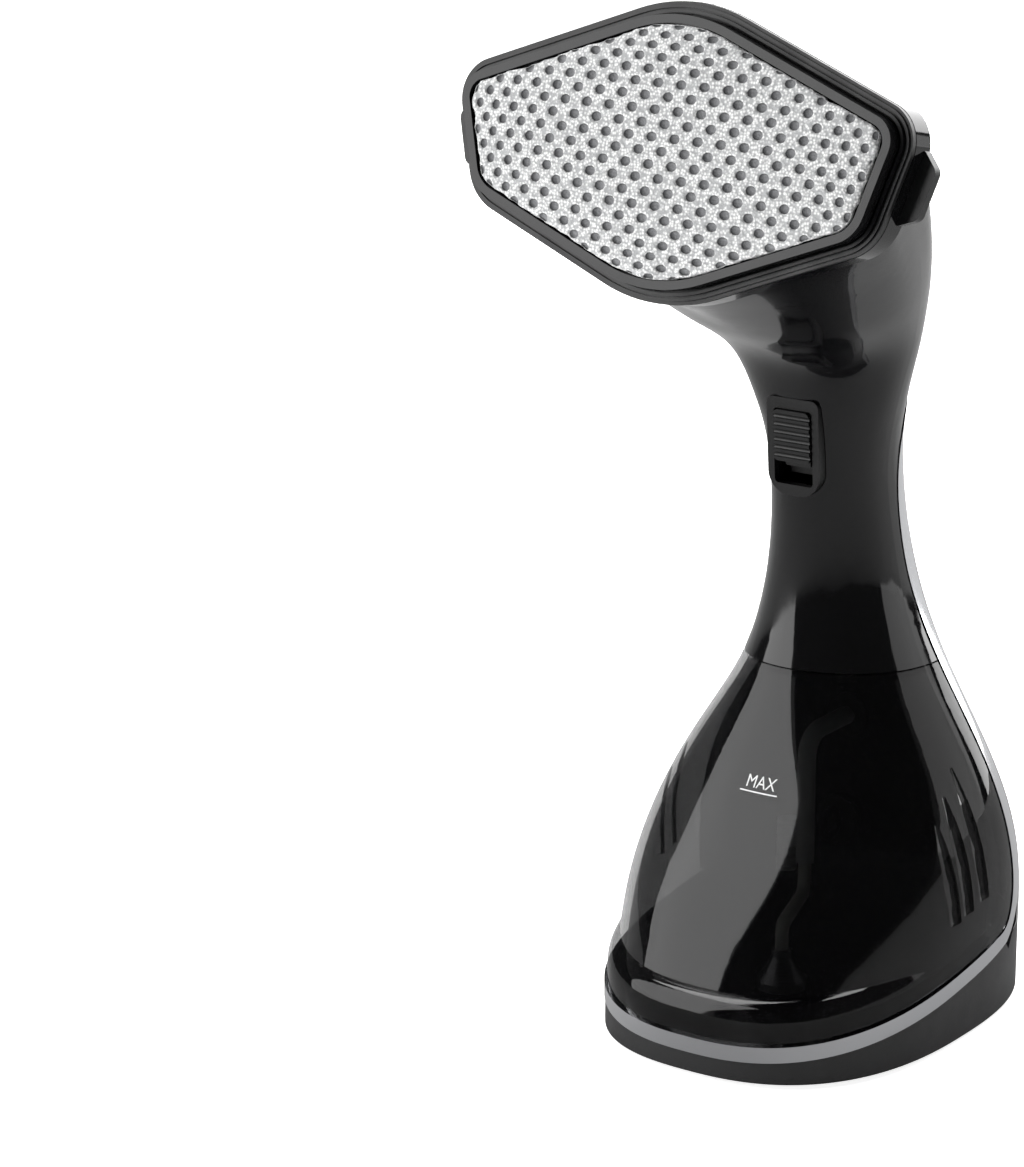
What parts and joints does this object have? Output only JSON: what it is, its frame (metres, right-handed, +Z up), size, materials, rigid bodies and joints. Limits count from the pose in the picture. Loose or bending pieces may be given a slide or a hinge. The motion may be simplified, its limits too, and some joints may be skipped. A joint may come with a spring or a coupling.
{
  "type": "garment steamer",
  "caption": "Handheld upright garment steamer: six-sided steam head with a cloth pad, slide switch, lift-off water tank and a flat foot.",
  "frame": {"origin": "middle of the foot on the surface it stands on", "axes": "+Z up, -Y towards the steam head's front, +X to the right seen from the back"},
  "size_m": [0.1452, 0.1619, 0.2965],
  "materials": {
    "housing_black": "gloss black",
    "foot_charcoal": "satin charcoal",
    "trim_chrome": "plated plastic",
    "tank_smoke": "smoky translucent gloss",
    "matte_black": "moulded matte",
    "frame_grey": "satin grey",
    "cloth_white": "knitted spacer mesh",
    "plate_metal": "die cast",
    "seal_rubber": "matte",
    "hose_clear": "silicone",
    "tube_white": "moulded",
    "weight_steel": "turned",
    "screw_steel": "zinc plated",
    "board_green": "laminate",
    "coil_copper": "enamelled winding",
    "insulator": "matte"
  },
  "bodies": {
    "body": {"trim_band": "trim_chrome", "base_foot": "foot_charcoal", "foot_deck": "matte_black", "rear_cover": "housing_black", "handle_shell": "housing_black", "coupling_seat": "matte_black", "bay_wall": "matte_black", "head_rim": "matte_black", "steam_plate": "plate_metal", "chamber_gasket": "seal_rubber", "heater_block": "plate_metal", "heater_cover": "plate_metal", "heating_element": "weight_steel", "thermostat": "insulator", "thermal_fuse": "insulator", "accessory_catch_left": "matte_black", "accessory_catch_right": "matte_black", "switch_bezel": "matte_black", "micro_switch": "matte_black", "pump_body": "tube_white", "pump_coil": "coil_copper", "circuit_board": "board_green", "terminal_block": "insulator", "tank_snap_left": "matte_black", "tank_snap_right": "matte_black", "inlet_hose": "hose_clear", "outlet_hose": "hose_clear", "cord_gland": "seal_rubber", "cover_screw_1": "screw_steel", "cover_screw_2": "screw_steel", "foot_pad_1": "seal_rubber", "base_screw_1": "screw_steel", "foot_pad_2": "seal_rubber", "base_screw_2": "screw_steel", "foot_pad_3": "seal_rubber", "base_screw_3": "screw_steel", "foot_pad_4": "seal_rubber", "base_screw_4": "screw_steel"},
    "tank": {"tank_shell": "tank_smoke", "tank_back": "tank_smoke", "filler_plug": "seal_rubber", "tank_outlet": "matte_black", "outlet_ring": "seal_rubber", "pickup_tube": "tube_white", "tube_clip": "tube_white"},
    "pickup": {"pickup_hose": "hose_clear", "filter_weight": "weight_steel"},
    "switch": {"switch_slider": "matte_black"},
    "bonnet": {"pad_frame": "frame_grey", "fabric_pad": "cloth_white"}
  },
  "joints": [
    {"name": "tank_pull", "type": "slide", "parent": "body", "child": "tank", "axis": [0, -1, 0], "range_m": [0, 0.12]},
    {"name": "pickup_swing", "type": "hinge", "parent": "tank", "child": "pickup", "pos_m": [0.0024, -0.01, 0.0457], "axis": [-1, 0, 0], "range_deg": [0, 8]},
    {"name": "switch_slide", "type": "slide", "parent": "body", "child": "switch", "axis": [0, 0.0732, -0.9973], "range_m": [0, 0.0058]},
    {"name": "pad_pull", "type": "slide", "parent": "body", "child": "bonnet", "axis": [0, -0.9785, 0.2062], "range_m": [0, 0.06]}
  ]
}
